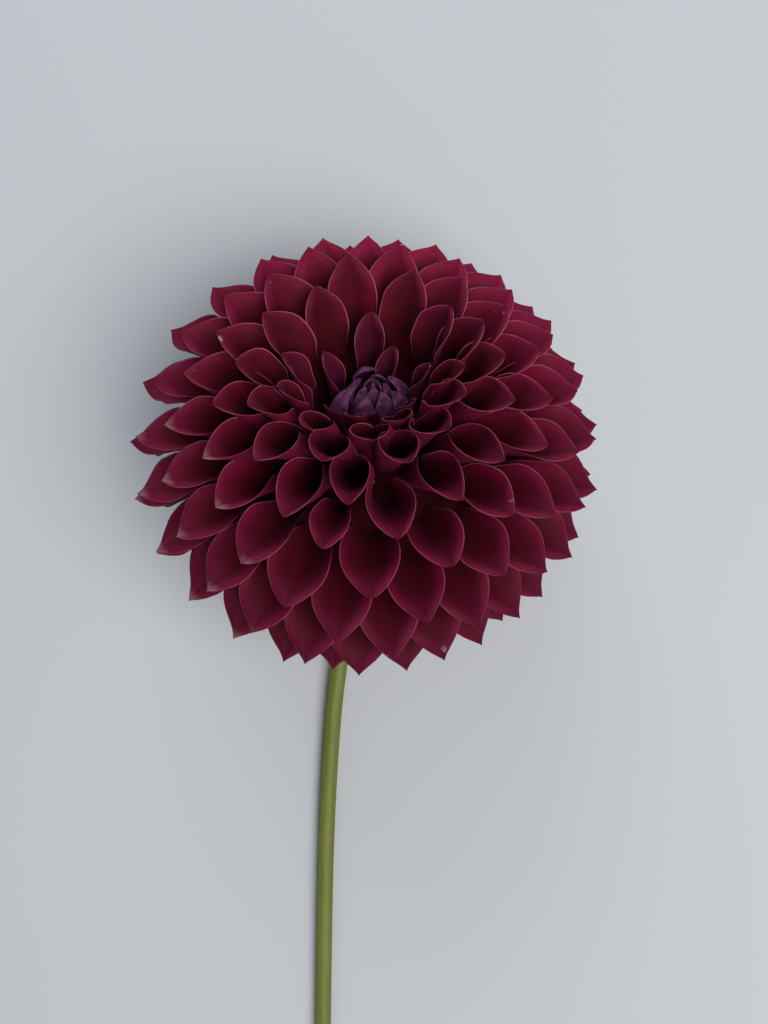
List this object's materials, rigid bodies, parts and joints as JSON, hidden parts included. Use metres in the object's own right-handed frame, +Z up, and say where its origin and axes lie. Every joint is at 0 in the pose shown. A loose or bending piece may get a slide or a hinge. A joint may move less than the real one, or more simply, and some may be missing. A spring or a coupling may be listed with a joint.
{
  "type": "dahlia flower",
  "caption": "Dark crimson ball-shaped dahlia bloom of rolled, pointed petals round a sunken purple heart, with its green cut stem, lying on a surface.",
  "frame": {"origin": "bottom centre of the box round the whole flower, on the surface that it lies on", "axes": "+Y along the flower from the cut end of the stem to the bloom, +Z up, +X across the bloom"},
  "size_m": [0.0974, 0.2092, 0.0798],
  "materials": {
    "ray_florets": "velvety dark crimson petals, browner towards the heart, with paler rolled margins",
    "heart_florets": "dull purple closed florets with lilac edges",
    "bracts": "matt fleshy green leaves",
    "stem": "smooth satin olive green stalk"
  },
  "bodies": {
    "root": {"ray_florets": "ray_florets", "heart_florets": "heart_florets", "involucre": "bracts", "stem": "stem"}
  },
  "joints": []
}
